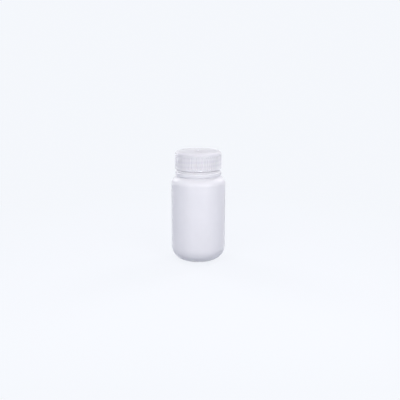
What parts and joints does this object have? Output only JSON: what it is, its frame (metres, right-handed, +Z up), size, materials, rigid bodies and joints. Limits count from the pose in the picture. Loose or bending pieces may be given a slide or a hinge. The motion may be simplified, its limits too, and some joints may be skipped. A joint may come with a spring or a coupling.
{
  "type": "reagent bottle",
  "caption": "Wide-mouth translucent plastic reagent bottle with a beaded collar, a threaded neck, a grooved screw cap and a foam sealing liner.",
  "frame": {"origin": "centre of the foot, on the plane that the bottle stands on", "axes": "+Z up along the bottle's axis, -Y towards the picture's viewer, +X to the picture's right"},
  "size_m": [0.051, 0.051, 0.1046],
  "materials": {
    "bottle_plastic": "translucent milky blow-moulded polyethylene, satin",
    "cap_plastic": "translucent milky injection-moulded polypropylene, satin",
    "liner_foam": "white closed-cell polyethylene foam, matte"
  },
  "bodies": {
    "bottle": {"bottle": "bottle_plastic"},
    "liner": {"seal_liner": "liner_foam"},
    "cap": {"screw_cap": "cap_plastic"}
  },
  "joints": [
    {"name": "cap_lift", "type": "slide", "parent": "bottle", "child": "liner", "axis": [0, 0, 1], "range_m": [0, 0.01693]},
    {"name": "cap_turn", "type": "hinge", "parent": "liner", "child": "cap", "pos_m": [0, 0, 0.095], "axis": [0, 0, 1], "range_deg": [0, 1440]}
  ],
  "couplings": [
    {"joint": "cap_lift", "follows": "cap_turn", "m_per_rad": 0.00067376}
  ]
}
